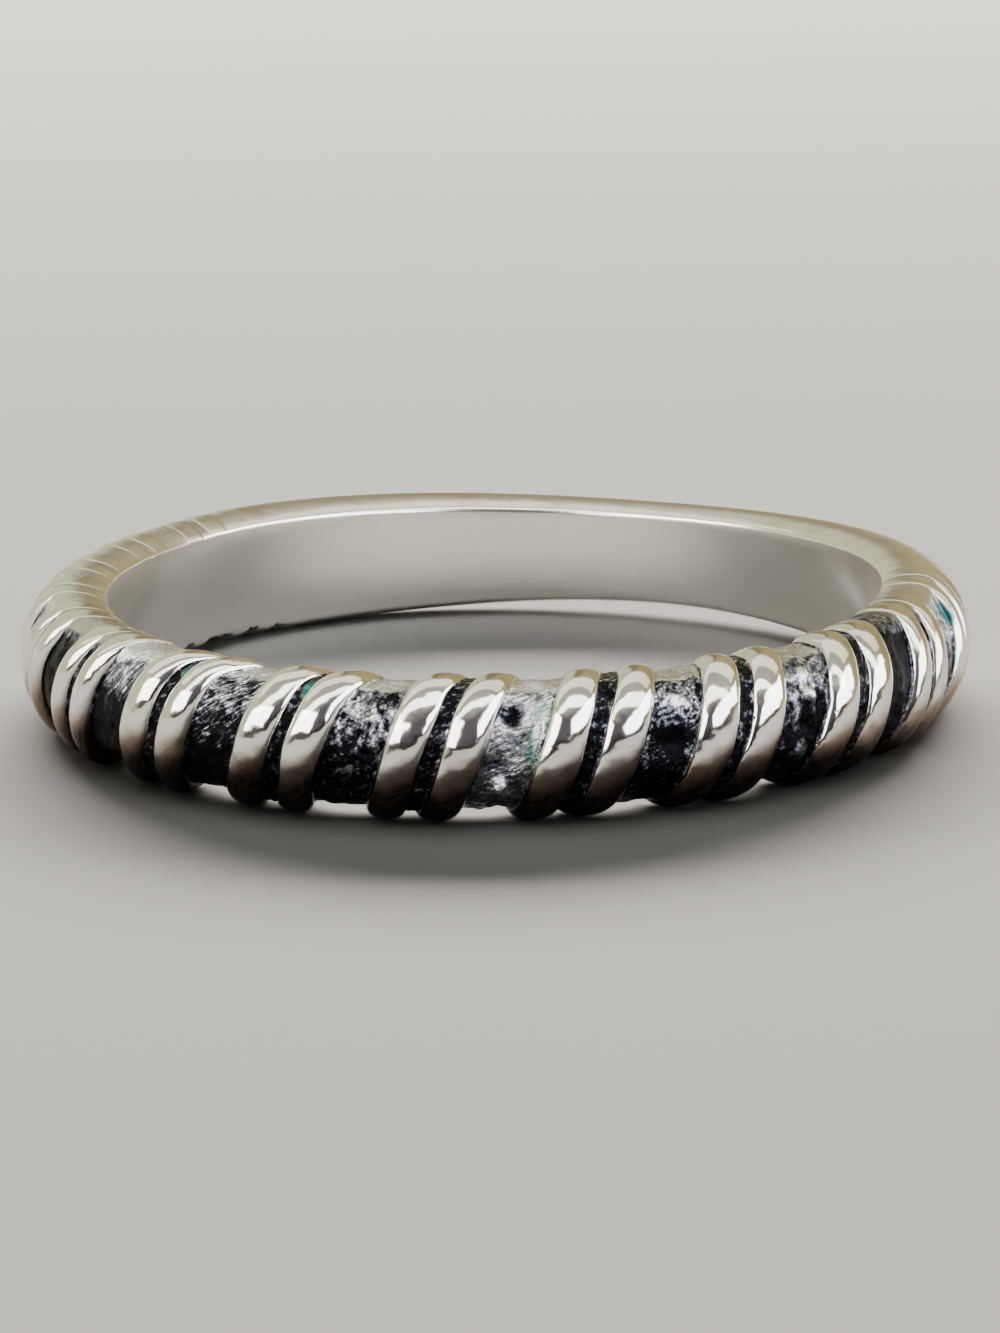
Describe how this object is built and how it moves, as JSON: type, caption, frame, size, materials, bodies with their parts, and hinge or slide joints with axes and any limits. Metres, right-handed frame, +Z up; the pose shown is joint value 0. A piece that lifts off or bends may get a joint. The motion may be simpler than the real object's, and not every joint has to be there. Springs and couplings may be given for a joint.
{
  "type": "stacking ring",
  "caption": "Polished silver stacking ring with leaning ribs in pairs, dark sunk channels between the pairs, and a plain rounded shank at the back.",
  "frame": {"origin": "on the surface that the ring lies on, straight below the middle of the finger hole", "axes": "+Z up along the finger hole's axis, -Y towards the middle of the twisted front, +X to the right of someone who looks at the front"},
  "size_m": [0.0212, 0.021, 0.0031],
  "materials": {
    "silver": "mirror-polished cast sterling silver, oxidised and left as cast in the channels"
  },
  "bodies": {
    "root": {"band": "silver"}
  },
  "joints": []
}
